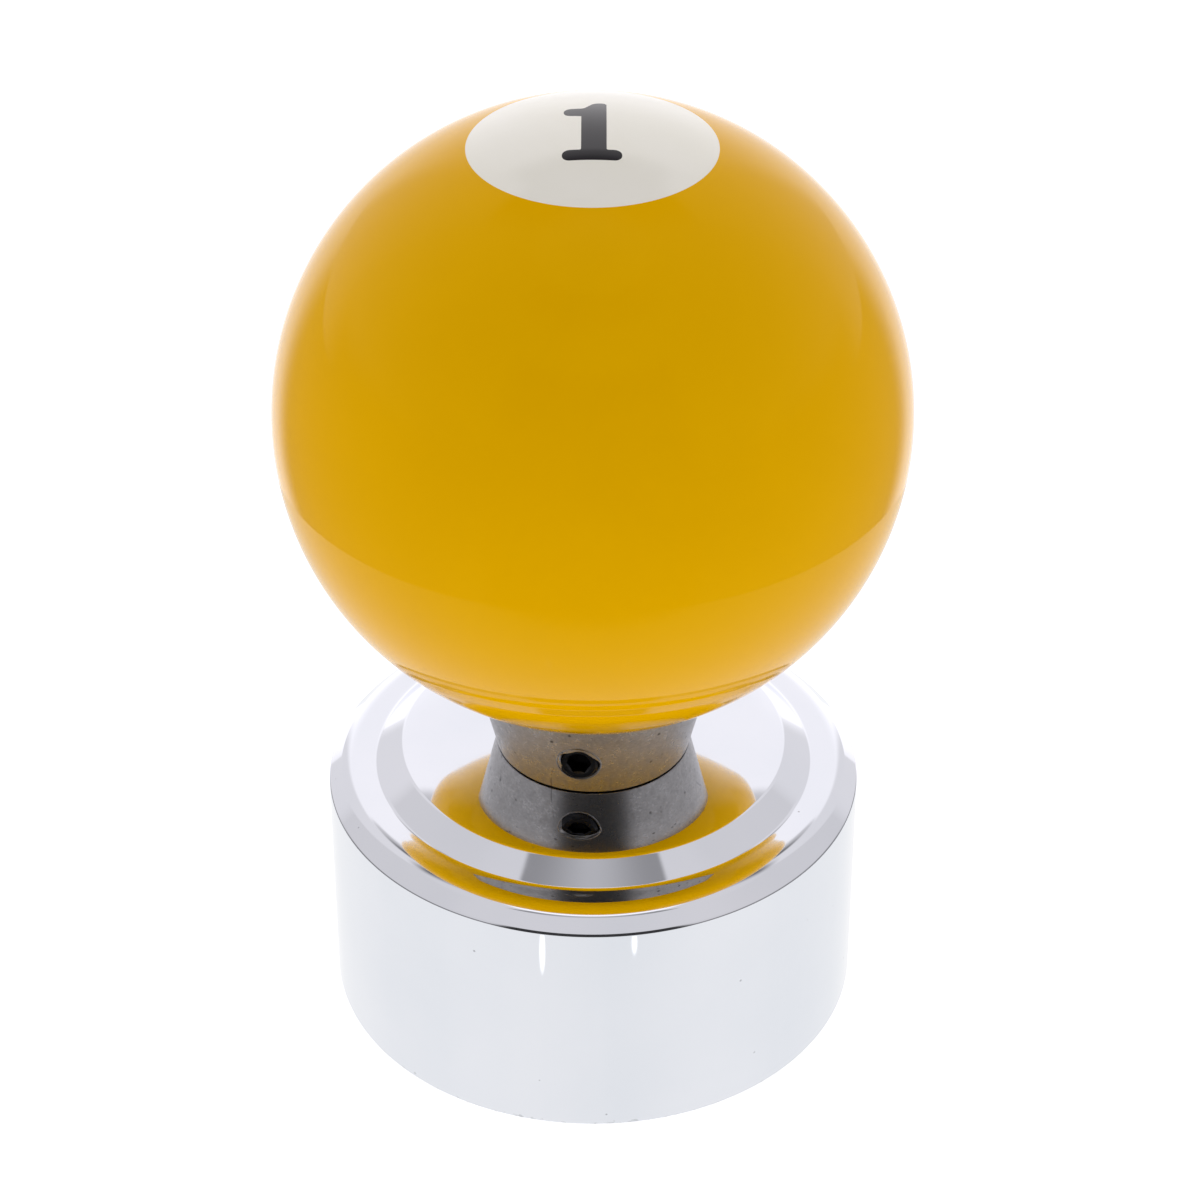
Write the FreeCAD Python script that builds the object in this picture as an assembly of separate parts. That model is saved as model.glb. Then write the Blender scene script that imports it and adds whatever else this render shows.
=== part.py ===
import FreeCAD, Part
import math
import os

# A ball-topped gear-shift knob. A numbered ball stands on a flared collar, the
# collar's thread turns on a stud, and the stud stands on a polished adapter cap.
# Millimetres. Z is the knob's axis, pointing up. The origin is the centre of the
# cap's bottom rim. The front, where the number reads upright, faces -Y.

# ---- driving dimensions ----
BALL_D = 57.15
BALL_Z = 62.5
DISC_R = 10.8
DISC_FLOOR_Z = 85.2
NUMERAL_FLOOR_Z = 87.2

CAP_WALL = 3.2
CAP_PLATEAU_Z = 26.9
CAP_CEILING_Z = 20.9
CAP_RIM_BREAK = 0.7
PLATEAU_FLAT_R = 14.2
BEVEL_RUN = 2.1
CHAMFER_RUN = 1.04
# The buffed top as arcs that follow on smoothly, with a straight bevel and chamfer
# between them. Each arc turns the surface from the slope before it to its own end
# slope, in degrees below level.
PLATEAU_ARCS = [(21.0, 10.4), (0.8, 36.5)]
LEDGE_ARCS = [(0.7, 5.3), (4.0, -2.0), (30.0, -1.0), (7.2, 5.3), (2.8, 30.0), (1.3, 42.0)]
SHOULDER_ARCS = [(0.45, 90.0)]

BOSS_COUNT = 3
BOSS_PITCH_R = 18.2
BOSS_R = 4.2
BOSS_RECESS = 1.0
BOSS_HOLE_R = 2.5
BOSS_HOLE_DEPTH = 14.0
BOSS_START = 90.0

STUD_R = 6.35
STUD_BOTTOM_Z = 5.6
STUD_LENGTH = 38.1
STUD_CHAMFER = 1.0

NUT_ACROSS_FLATS = 19.05
NUT_H = 7.94
WASHER_R = 13.49
WASHER_H = 2.4
LOCK_WASHER_R = 10.95
LOCK_WASHER_H = 3.18
LOCK_WASHER_GAP = 1.6
LOCK_WASHER_LEAN = 18.0
WASHER_BORE_R = 6.75

THREAD_CLEARANCE = 0.05
COLLAR_GAP = 0.12
COLLAR_BOTTOM_R = 9.12
COLLAR_TOP_R = 11.4
COLLAR_CHAMFER = 0.25
SPIGOT_R = 8.5
SPIGOT_TOP_Z = 49.5
SPIGOT_GROOVES = 3
SPIGOT_GROOVE_PITCH = 3.0
SPIGOT_GROOVE_DEPTH = 0.4
SPIGOT_GROOVE_H = 1.2
BORE_TOP_Z = 46.0
RING_TOP_Z = 40.5

SCREW_AZIMUTH = -7.6
SCREW_Z = 30.9
SCREW_R = 2.0
SCREW_LENGTH = 3.0
SCREW_CLEARANCE = 0.05
SCREW_CHAMFER = 0.25
SCREW_SOCKET_AF = 2.0
SCREW_SOCKET_DEPTH = 1.6
TIP_R = 1.2
TIP_LENGTH = 0.65
TIP_GAP = 0.01

# The figure's outline seen from above: x, y and the radius that rounds the corner.
NUMERAL_CORNERS = [
    (-2.55, -5.4, 0.65), (2.5, -5.4, 0.65), (2.5, -3.95, 0.65), (1.2, -3.95, 0.15),
    (1.2, 4.85, 0.45), (0.15, 4.85, 0.8), (-0.75, 3.5, 0.5), (-2.45, 3.5, 0.7),
    (-2.45, 1.95, 0.7), (-0.95, 1.75, 0.1), (-0.95, -3.95, 0.15), (-2.55, -3.95, 0.65),
]

# ---- worked out ----
BALL_R = BALL_D / 2
BORE_R = STUD_R + THREAD_CLEARANCE
COLLAR_BOTTOM_Z = CAP_PLATEAU_Z + COLLAR_GAP
SCREW_OUTWARD = FreeCAD.Vector(
    math.sin(math.radians(SCREW_AZIMUTH)),
    -math.cos(math.radians(SCREW_AZIMUTH)),
    0,
)
UP = FreeCAD.Vector(0, 0, 1)
ORIGIN = FreeCAD.Vector(0, 0, 0)


def point(r, z):
    """A point of a lathe profile, at radius r and height z."""
    return FreeCAD.Vector(r, 0, z)


def line(a, b):
    return Part.makeLine(a, b)


def arc(centre, radius, start, end):
    """An arc of a lathe profile between two angles in degrees, 0 outward and 90 up."""
    def at(angle):
        turn = math.radians(angle)
        return point(centre.x + radius * math.cos(turn), centre.z + radius * math.sin(turn))
    return Part.Arc(at(start), at((start + end) / 2), at(end)).toShape()


def ends(edge):
    first = edge.valueAt(edge.FirstParameter)
    last = edge.valueAt(edge.LastParameter)
    return first, last


def lathe(pieces):
    """Turn a closed profile about Z. Points and edges are joined in order by lines."""
    edges = []
    start = None
    cursor = None
    for piece in pieces:
        if isinstance(piece, FreeCAD.Vector):
            first, last, edge = piece, piece, None
        else:
            first, last = ends(piece)
            edge = piece
        if cursor is None:
            start = first
        elif cursor.distanceToPoint(first) > 1e-7:
            edges.append(line(cursor, first))
        if edge is not None:
            edges.append(edge)
        cursor = last
    if cursor.distanceToPoint(start) > 1e-7:
        edges.append(line(cursor, start))
    face = Part.Face(Part.Wire(edges))
    return face.revolve(ORIGIN, UP, 360)


def cylinder(radius, height, z):
    return Part.makeCylinder(radius, height, FreeCAD.Vector(0, 0, z), UP)


def hexagonal_prism(across_flats, height, centre, axis):
    """A hexagonal prism from centre along axis."""
    corner_r = across_flats / math.sqrt(3)
    corners = []
    for corner in range(7):
        turn = math.radians(60 * corner)
        corners.append(FreeCAD.Vector(corner_r * math.cos(turn), corner_r * math.sin(turn), 0))
    prism = Part.Face(Part.makePolygon(corners)).extrude(FreeCAD.Vector(0, 0, height))
    prism.Placement = FreeCAD.Placement(centre, FreeCAD.Rotation(UP, axis))
    return prism


def ball():
    return Part.makeSphere(BALL_R, FreeCAD.Vector(0, 0, BALL_Z))


def rounded_face(corners):
    """A flat face whose corners are given as x, y and rounding radius."""
    edges = []
    cursor = None
    first = None
    for index, (x, y, radius) in enumerate(corners):
        corner = FreeCAD.Vector(x, y, 0)
        before = FreeCAD.Vector(*corners[index - 1][:2], 0) - corner
        after = FreeCAD.Vector(*corners[(index + 1) % len(corners)][:2], 0) - corner
        before.normalize()
        after.normalize()
        half = before.getAngle(after) / 2
        start = corner + before * (radius / math.tan(half))
        end = corner + after * (radius / math.tan(half))
        inward = before + after
        inward.normalize()
        middle = corner + inward * (radius / math.sin(half) - radius)
        if cursor is None:
            first = start
        else:
            edges.append(line(cursor, start))
        edges.append(Part.Arc(start, middle, end).toShape())
        cursor = end
    edges.append(line(cursor, first))
    return Part.Face(Part.Wire(edges))


def numeral():
    """The black figure, cast into the disc and flush with the ball's surface."""
    outline = rounded_face(NUMERAL_CORNERS)
    outline.translate(FreeCAD.Vector(0, 0, NUMERAL_FLOOR_Z))
    return outline.extrude(FreeCAD.Vector(0, 0, BALL_D)).common(ball())


def number_disc():
    """The white plug at the top pole that carries the figure."""
    plug = cylinder(DISC_R, BALL_D, DISC_FLOOR_Z).common(ball())
    return plug.cut(numeral())


def lower_number_ring():
    """What the insert's bore leaves of the matching white plug at the bottom pole."""
    plug = cylinder(DISC_R, RING_TOP_Z, 0).common(ball())
    return plug.cut(cylinder(SPIGOT_R, RING_TOP_Z, 0))


def ball_body():
    """The coloured ball, with room for both plugs and the insert's spigot."""
    body = ball()
    body = body.cut(cylinder(DISC_R, BALL_D, DISC_FLOOR_Z))
    body = body.cut(cylinder(DISC_R, RING_TOP_Z, 0))
    return body.cut(cylinder(SPIGOT_R, SPIGOT_TOP_Z, 0))


def along_screw(distance):
    """A point on the set screw's axis, at a distance from the knob's axis."""
    return FreeCAD.Vector(0, 0, SCREW_Z) + SCREW_OUTWARD * distance


def ball_insert():
    """Flared collar and grooved spigot in one piece, with a blind threaded bore."""
    grooves = []
    for groove in range(SPIGOT_GROOVES):
        z = SPIGOT_TOP_Z - SPIGOT_GROOVE_PITCH * (groove + 1)
        inner = SPIGOT_R - SPIGOT_GROOVE_DEPTH
        grooves += [
            point(SPIGOT_R, z + SPIGOT_GROOVE_H),
            point(inner, z + SPIGOT_GROOVE_H),
            point(inner, z),
            point(SPIGOT_R, z),
        ]
    seat_angle = math.degrees(math.asin(COLLAR_TOP_R / BALL_R)) - 90
    neck_angle = math.degrees(math.asin(SPIGOT_R / BALL_R)) - 90
    seat = arc(point(0, BALL_Z), BALL_R, neck_angle, seat_angle)
    body = lathe([
        point(0, SPIGOT_TOP_Z),
        point(SPIGOT_R - COLLAR_CHAMFER, SPIGOT_TOP_Z),
        point(SPIGOT_R, SPIGOT_TOP_Z - COLLAR_CHAMFER),
        *grooves,
        seat,
        point(COLLAR_BOTTOM_R, COLLAR_BOTTOM_Z + COLLAR_CHAMFER),
        point(COLLAR_BOTTOM_R - COLLAR_CHAMFER, COLLAR_BOTTOM_Z),
        point(BORE_R + COLLAR_CHAMFER, COLLAR_BOTTOM_Z),
        point(BORE_R, COLLAR_BOTTOM_Z + COLLAR_CHAMFER),
        point(BORE_R, BORE_TOP_Z),
        point(0, BORE_TOP_Z),
    ])
    hole = Part.makeCylinder(
        SCREW_R + SCREW_CLEARANCE, 2 * COLLAR_TOP_R, along_screw(0), SCREW_OUTWARD)
    return body.cut(hole)


def screw_start():
    return STUD_R + TIP_GAP + TIP_LENGTH


def set_screw():
    """Flush socket set screw, chamfered at both ends, hexagon socket outward."""
    start = screw_start()
    profile = lathe([
        point(0, 0),
        point(SCREW_R - SCREW_CHAMFER, 0),
        point(SCREW_R, SCREW_CHAMFER),
        point(SCREW_R, SCREW_LENGTH - SCREW_CHAMFER),
        point(SCREW_R - SCREW_CHAMFER, SCREW_LENGTH),
        point(0, SCREW_LENGTH),
    ])
    profile.Placement = FreeCAD.Placement(
        along_screw(start), FreeCAD.Rotation(UP, SCREW_OUTWARD))
    socket = hexagonal_prism(
        SCREW_SOCKET_AF,
        SCREW_SOCKET_DEPTH,
        along_screw(start + SCREW_LENGTH - SCREW_SOCKET_DEPTH),
        SCREW_OUTWARD,
    )
    return profile.cut(socket)


def set_screw_tip():
    """Soft brass tip that bears on the stud's thread."""
    return Part.makeCylinder(TIP_R, TIP_LENGTH, along_screw(STUD_R + TIP_GAP), SCREW_OUTWARD)


def threaded_stud():
    """Plain cylinder at the thread's crest, chamfered at both ends."""
    top = STUD_BOTTOM_Z + STUD_LENGTH
    return lathe([
        point(0, STUD_BOTTOM_Z),
        point(STUD_R - STUD_CHAMFER, STUD_BOTTOM_Z),
        point(STUD_R, STUD_BOTTOM_Z + STUD_CHAMFER),
        point(STUD_R, top - STUD_CHAMFER),
        point(STUD_R - STUD_CHAMFER, top),
        point(0, top),
    ])


def smooth_arcs(start, slope, arcs):
    """Arcs that leave start at a slope below level and follow on with no kink."""
    edges = []
    cursor = start
    for radius, end_slope in arcs:
        bend = 1 if end_slope > slope else -1
        first = 90 * bend - slope
        last = 90 * bend - end_slope
        turn = math.radians(first)
        centre = point(
            cursor.x - radius * math.cos(turn), cursor.z - radius * math.sin(turn))
        edge = arc(centre, radius, first, last)
        edges.append(edge)
        cursor = ends(edge)[1]
        slope = end_slope
    return edges, cursor


def down_slope(start, run, slope):
    return point(start.x + run, start.z - run * math.tan(math.radians(slope)))


def cap_top_profile():
    """The buffed top from the plateau outward: roll-off, bevel, cove and chamfer."""
    bevel_slope = PLATEAU_ARCS[-1][1]
    chamfer_slope = LEDGE_ARCS[-1][1]
    plateau, brow = smooth_arcs(point(PLATEAU_FLAT_R, CAP_PLATEAU_Z), 0, PLATEAU_ARCS)
    foot = down_slope(brow, BEVEL_RUN, bevel_slope)
    ledge, crest = smooth_arcs(foot, bevel_slope, LEDGE_ARCS)
    edge = down_slope(crest, CHAMFER_RUN, chamfer_slope)
    shoulder, rim = smooth_arcs(edge, chamfer_slope, SHOULDER_ARCS)
    return [*plateau, *ledge, *shoulder], rim


def adapter_cap():
    """Cylindrical cup, open below, with a raised polished plateau and three bosses."""
    top, rim = cap_top_profile()
    inner_r = rim.x - CAP_WALL
    shell = lathe([
        point(STUD_R, CAP_PLATEAU_Z),
        *top,
        arc(point(rim.x - CAP_RIM_BREAK, CAP_RIM_BREAK), CAP_RIM_BREAK, 0, -90),
        point(inner_r, 0),
        point(inner_r, CAP_CEILING_Z),
        point(STUD_R, CAP_CEILING_Z),
    ])
    for boss in range(BOSS_COUNT):
        turn = math.radians(BOSS_START + 360 / BOSS_COUNT * boss)
        base = FreeCAD.Vector(
            BOSS_PITCH_R * math.cos(turn), BOSS_PITCH_R * math.sin(turn), BOSS_RECESS)
        post = Part.makeCylinder(BOSS_R, CAP_CEILING_Z - BOSS_RECESS, base, UP)
        shell = shell.fuse(post)
    for boss in range(BOSS_COUNT):
        turn = math.radians(BOSS_START + 360 / BOSS_COUNT * boss)
        base = FreeCAD.Vector(
            BOSS_PITCH_R * math.cos(turn), BOSS_PITCH_R * math.sin(turn), BOSS_RECESS)
        shell = shell.cut(Part.makeCylinder(BOSS_HOLE_R, BOSS_HOLE_DEPTH, base, UP))
    return shell.removeSplitter()


def flat_washer():
    bottom = CAP_CEILING_Z - WASHER_H
    return cylinder(WASHER_R, WASHER_H, bottom).cut(cylinder(WASHER_BORE_R, WASHER_H, bottom))


def lock_washer():
    """Split washer pressed flat, with its slanted cut."""
    bottom = CAP_CEILING_Z - WASHER_H - LOCK_WASHER_H
    ring = cylinder(LOCK_WASHER_R, LOCK_WASHER_H, bottom)
    ring = ring.cut(cylinder(WASHER_BORE_R, LOCK_WASHER_H, bottom))
    slit = Part.makeBox(
        2 * LOCK_WASHER_R, LOCK_WASHER_GAP, 3 * LOCK_WASHER_H,
        FreeCAD.Vector(0, -LOCK_WASHER_GAP / 2, -1.5 * LOCK_WASHER_H))
    slit.rotate(ORIGIN, FreeCAD.Vector(1, 0, 0), LOCK_WASHER_LEAN)
    slit.translate(FreeCAD.Vector(0, 0, bottom + LOCK_WASHER_H / 2))
    return ring.cut(slit)


def jam_nut():
    """Hexagonal nut with its corners chamfered on both faces."""
    bottom = CAP_CEILING_Z - WASHER_H - LOCK_WASHER_H - NUT_H
    prism = hexagonal_prism(NUT_ACROSS_FLATS, NUT_H, FreeCAD.Vector(0, 0, bottom), UP)
    corner_r = NUT_ACROSS_FLATS / math.sqrt(3)
    face_r = NUT_ACROSS_FLATS / 2
    drop = (corner_r - face_r) * math.tan(math.radians(30))
    envelope = lathe([
        point(0, bottom),
        point(face_r, bottom),
        point(corner_r, bottom + drop),
        point(corner_r, bottom + NUT_H - drop),
        point(face_r, bottom + NUT_H),
        point(0, bottom + NUT_H),
    ])
    return prism.common(envelope).cut(cylinder(STUD_R, NUT_H, bottom))


NODES = {
    "ball_body": ball_body,
    "number_disc": number_disc,
    "numeral_one": numeral,
    "lower_number_ring": lower_number_ring,
    "ball_insert": ball_insert,
    "set_screw": set_screw,
    "set_screw_tip": set_screw_tip,
    "threaded_stud": threaded_stud,
    "adapter_cap": adapter_cap,
    "flat_washer": flat_washer,
    "lock_washer": lock_washer,
    "jam_nut": jam_nut,
}

os.makedirs("parts", exist_ok=True)
for name, make in NODES.items():
    shape = make()
    if len(shape.Solids) == 1:
        shape = shape.Solids[0]
    box = shape.BoundBox
    print(name, shape.isValid(), len(shape.Solids), round(shape.Volume, 2),
          [round(v, 2) for v in (box.XMin, box.YMin, box.ZMin, box.XMax, box.YMax, box.ZMax)])
    shape.exportStep("parts/" + name + ".step")
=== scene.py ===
import bmesh
import bpy
import math
import numpy as np
import random
from mathutils import Matrix, Vector


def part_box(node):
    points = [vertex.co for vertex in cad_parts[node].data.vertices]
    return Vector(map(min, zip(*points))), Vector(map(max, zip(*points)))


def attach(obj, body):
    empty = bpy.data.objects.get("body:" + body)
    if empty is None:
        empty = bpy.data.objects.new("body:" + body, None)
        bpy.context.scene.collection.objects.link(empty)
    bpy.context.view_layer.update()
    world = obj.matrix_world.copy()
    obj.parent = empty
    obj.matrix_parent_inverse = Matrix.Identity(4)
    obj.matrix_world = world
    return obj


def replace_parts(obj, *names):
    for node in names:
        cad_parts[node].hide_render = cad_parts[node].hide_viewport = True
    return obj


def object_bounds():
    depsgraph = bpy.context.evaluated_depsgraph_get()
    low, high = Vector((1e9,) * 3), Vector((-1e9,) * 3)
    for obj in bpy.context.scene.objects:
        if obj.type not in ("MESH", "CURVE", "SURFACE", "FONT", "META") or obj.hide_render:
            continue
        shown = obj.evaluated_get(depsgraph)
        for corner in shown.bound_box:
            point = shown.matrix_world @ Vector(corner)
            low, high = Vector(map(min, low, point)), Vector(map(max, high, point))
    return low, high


# A ball-topped gear-shift knob: a numbered ball on a flared collar, which screws on
# a stud that stands on a polished adapter cap. Sizes are in metres. Places come from
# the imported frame, and the sizes below are the finer ones that the frame leaves out.

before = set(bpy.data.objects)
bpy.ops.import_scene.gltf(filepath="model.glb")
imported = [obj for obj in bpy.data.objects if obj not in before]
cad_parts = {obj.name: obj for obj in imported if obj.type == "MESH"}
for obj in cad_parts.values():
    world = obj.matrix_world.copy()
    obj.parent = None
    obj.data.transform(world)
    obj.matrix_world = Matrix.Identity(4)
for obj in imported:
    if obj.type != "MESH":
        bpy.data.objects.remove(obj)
cad_low, cad_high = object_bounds()

MM = 0.001
# Points closer than this are one point.
MERGE = 1e-7
# Steps round a full turn, for large, middling and small pieces.
FINE = 256
MEDIUM = 192
COARSE = 96

# The polished top as arcs that follow on smoothly: radius and end slope in degrees.
PLATEAU_FLAT_R = 14.2 * MM
BEVEL_RUN = 2.1 * MM
CHAMFER_RUN = 1.04 * MM
PLATEAU_ARCS = [(21.0 * MM, 10.4), (0.8 * MM, 36.5)]
LEDGE_ARCS = [
    (0.7 * MM, 5.3), (4.0 * MM, -2.0), (30 * MM, -1.0), (7.2 * MM, 5.3), (2.8 * MM, 30.0),
    (1.3 * MM, 42.0),
]
SHOULDER_ARCS = [(0.45 * MM, 90.0)]
CAP_WALL = 3.2 * MM
CAP_RIM_BREAK = 0.7 * MM
CAP_INNER_FILLET = 1.2 * MM

BOSS_COUNT = 3
BOSS_PITCH_R = 18.2 * MM
BOSS_R = 4.2 * MM
BOSS_RECESS = 1.0 * MM
BOSS_HOLE_DEPTH = 14.0 * MM
BOSS_THREAD = {"pitch": 0.8 * MM, "root": 2.1 * MM, "crest": 2.5 * MM}
BOSS_FLARE = 1.4 * MM
DRILL_SLOPE = 31

NUT_CHAMFER = 30
NUT_FACE_SHARE = 0.97
WASHER_BORE_R = 6.75 * MM
LOCK_WASHER_GAP = 1.6 * MM
LOCK_WASHER_LEAN = 18

# A thread's radius at its root and at its crest. In a bore, the crest is the groove.
STUD_THREAD = {"pitch": 25.4 / 13 * MM, "root": 5.3 * MM, "crest": 6.3 * MM}
BORE_THREAD = {"pitch": 25.4 / 13 * MM, "root": 5.5 * MM, "crest": 6.4 * MM}
SCREW_THREAD = {"pitch": 0.7 * MM, "root": 1.6 * MM, "crest": 1.96 * MM}
SCREW_BORE_THREAD = {"pitch": 0.7 * MM, "root": 1.66 * MM, "crest": 2.05 * MM}

COLLAR_BOTTOM_R = 9.12 * MM
COLLAR_TOP_R = 11.4 * MM
RING_SLACK = 0.02 * MM
COLLAR_EDGE = 0.1 * MM
SPIGOT_R = 8.5 * MM
SPIGOT_GROOVES = 3
SPIGOT_GROOVE_PITCH = 3.0 * MM
SPIGOT_GROOVE_DEPTH = 0.4 * MM
SPIGOT_GROOVE_H = 1.2 * MM
BORE_TOP_Z = 46.0 * MM
BORE_DRILL_Z = 48.2 * MM

SCREW_AZIMUTH = -7.6
SCREW_SOCKET_AF = 2.0 * MM
SCREW_SOCKET_DEPTH = 1.6 * MM
SCREW_DRILL_DEPTH = 0.35 * MM
SCREW_HOLE_FROM = 5.0 * MM
SCREW_HOLE_TO = 12.0 * MM
HOLE_LIP_R = 0.07 * MM
HOLE_LIP_SIDES = 8

# The figure's corners in millimetres: x, y and the radius that rounds them.
NUMERAL_CORNERS = [
    (-2.55, -5.4, 0.65), (2.5, -5.4, 0.65), (2.5, -3.95, 0.65), (1.2, -3.95, 0.15),
    (1.2, 4.85, 0.45), (0.15, 4.85, 0.8), (-0.75, 3.5, 0.5), (-2.45, 3.5, 0.7),
    (-2.45, 1.95, 0.7), (-0.95, 1.75, 0.1), (-0.95, -3.95, 0.15), (-2.55, -3.95, 0.65),
]

BALL_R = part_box("ball_body")[1].x
BALL_Z = cad_high.z - BALL_R


# ---- skins: strips of faces with exact normals ----

class Skin:
    """Strips of faces whose corners carry the normals of the surface they stand for."""

    def __init__(self):
        self.points = []
        self.faces = []
        self.flow = []

    def strip(self, row_a, row_b, flow_a, flow_b, closed=True):
        """Faces between two rows of points. Missing normals leave the faces flat."""
        first = len(self.points)
        count = len(row_a)
        if flow_a is None:
            flow_a = np.zeros((count, 3))
            flow_b = flow_a
        self.points.extend(row_a)
        self.points.extend(row_b)
        for i in range(count if closed else count - 1):
            j = (i + 1) % count
            self.faces.append((first + i, first + j, first + count + j, first + count + i))
            self.flow.extend((flow_a[i], flow_a[j], flow_b[j], flow_b[i]))

    def fan(self, row, centre, normal):
        """Triangles from an open or closed row to one point."""
        first = len(self.points)
        count = len(row)
        self.points.extend(row)
        self.points.append(centre)
        for i in range(count):
            self.faces.append((first + i, first + (i + 1) % count, first + count))
            self.flow.extend((normal, normal, normal))

    def sheet(self, outline, normal):
        """One flat face with any outline."""
        first = len(self.points)
        self.points.extend(outline)
        self.faces.append(tuple(range(first, first + len(outline))))
        self.flow.extend([normal] * len(outline))

    def piece(self, name, placement=None):
        """The strips joined into one closed mesh object."""
        mesh = bpy.data.meshes.new(name)
        mesh.from_pydata([tuple(p) for p in self.points], [], self.faces)
        flow = mesh.attributes.new("flow", "FLOAT_VECTOR", "CORNER")
        vectors = np.array(self.flow, float)
        if placement is not None:
            mesh.transform(placement)
            vectors = vectors @ np.array(placement.to_3x3()).T
        flow.data.foreach_set("vector", vectors.astype(np.float32).ravel())
        work = bmesh.new()
        work.from_mesh(mesh)
        bmesh.ops.remove_doubles(work, verts=work.verts, dist=MERGE)
        bmesh.ops.recalc_face_normals(work, faces=work.faces)
        work.to_mesh(mesh)
        work.free()
        obj = bpy.data.objects.new(name, mesh)
        bpy.context.scene.collection.objects.link(obj)
        return obj


def set_normals(obj):
    """Give each corner the normal that its strip carried, on the face's outer side."""
    mesh = obj.data
    flow = np.zeros(len(mesh.loops) * 3, np.float32)
    mesh.attributes["flow"].data.foreach_get("vector", flow)
    flow = flow.reshape(-1, 3)
    face = np.zeros(len(mesh.polygons) * 3, np.float32)
    mesh.polygons.foreach_get("normal", face)
    sizes = np.zeros(len(mesh.polygons), np.int32)
    mesh.polygons.foreach_get("loop_total", sizes)
    face = np.repeat(face.reshape(-1, 3), sizes, axis=0)
    length = np.linalg.norm(flow, axis=1, keepdims=True)
    side = np.sign((flow * face).sum(1, keepdims=True))
    exact = (length > 0.5) & (side != 0)
    flow = np.where(exact, flow * side / np.maximum(length, 1e-9), face)
    mesh.attributes.remove(mesh.attributes["flow"])
    mesh.polygons.foreach_set("use_smooth", np.ones(len(mesh.polygons), bool))
    mesh.normals_split_custom_set(flow)


def combine(target, tool, operation):
    """Cut or intersect one piece with another, which is used up."""
    modifier = target.modifiers.new("combine", "BOOLEAN")
    modifier.operation = operation
    modifier.object = tool
    modifier.solver = "EXACT"
    depsgraph = bpy.context.evaluated_depsgraph_get()
    result = bpy.data.meshes.new_from_object(target.evaluated_get(depsgraph))
    target.modifiers.clear()
    target.data = result
    bpy.data.objects.remove(tool)
    return target


def turns(count):
    """Evenly spaced angles round a full turn."""
    return np.arange(count) * 2 * math.pi / count


def ring(r, z, angles):
    """Points at radius r and height z, where r and z are numbers or arrays."""
    return np.stack([r * np.cos(angles), r * np.sin(angles), z + 0 * angles], axis=1)


def straight(a, b):
    """A straight stretch of a lathe profile, as r, z and the normal's r and z."""
    run = b[0] - a[0]
    rise = b[1] - a[1]
    length = math.hypot(run, rise)
    if length < MERGE:
        return []
    normal = (rise / length, -run / length)
    return [(*a, *normal), (*b, *normal)]


def bend(centre, radius, start, end, step=6.0):
    """An arc of a lathe profile between two angles in degrees, 0 outward and 90 up."""
    count = max(2, math.ceil(abs(end - start) / step))
    points = []
    for i in range(count + 1):
        turn = math.radians(start + (end - start) * i / count)
        across = (math.cos(turn), math.sin(turn))
        points.append((centre[0] + radius * across[0], centre[1] + radius * across[1], *across))
    return points


def outline(corners, step=15.0):
    """Stretches through corners given as r, z and the radius that rounds them."""
    stretches = []
    cursor = corners[0][:2]
    for before, corner, after in zip(corners, corners[1:], corners[2:]):
        here = Vector(corner[:2])
        back = (Vector(before[:2]) - here).normalized()
        ahead = (Vector(after[:2]) - here).normalized()
        radius = corner[2]
        if radius == 0:
            stretches.append(straight(cursor, tuple(here)))
            cursor = tuple(here)
            continue
        half = back.angle(ahead) / 2
        start = here + back * radius / math.tan(half)
        end = here + ahead * radius / math.tan(half)
        centre = here + (back + ahead).normalized() * radius / math.sin(half)
        first = math.degrees(math.atan2(start.y - centre.y, start.x - centre.x))
        last = math.degrees(math.atan2(end.y - centre.y, end.x - centre.x))
        last = first + (last - first + 180) % 360 - 180
        stretches.append(straight(cursor, tuple(start)))
        stretches.append(bend(centre, radius, first, last, step))
        cursor = tuple(end)
    stretches.append(straight(cursor, tuple(corners[-1][:2])))
    return [stretch for stretch in stretches if stretch]


def smooth_arcs(start, slope, arcs, step):
    """Arcs that leave start at a slope below level and follow on with no kink."""
    stretches = []
    cursor = start
    for radius, end_slope in arcs:
        side = 1 if end_slope > slope else -1
        first = 90 * side - slope
        last = 90 * side - end_slope
        turn = math.radians(first)
        centre = (cursor[0] - radius * math.cos(turn), cursor[1] - radius * math.sin(turn))
        stretches.append(bend(centre, radius, first, last, step))
        cursor = stretches[-1][-1][:2]
        slope = end_slope
    return stretches, cursor


def down_slope(start, run, slope):
    """The end of a straight stretch that falls by slope degrees over a run."""
    return (start[0] + run, start[1] - run * math.tan(math.radians(slope)))


def lathe(skin, stretches, segments):
    """Turn profile stretches about Z."""
    angles = turns(segments)
    for stretch in stretches:
        rows = [(ring(r, z, angles), ring(nr, nz, angles)) for r, z, nr, nz in stretch]
        for (row_a, flow_a), (row_b, flow_b) in zip(rows, rows[1:]):
            skin.strip(row_a, row_b, flow_a, flow_b)


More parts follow.
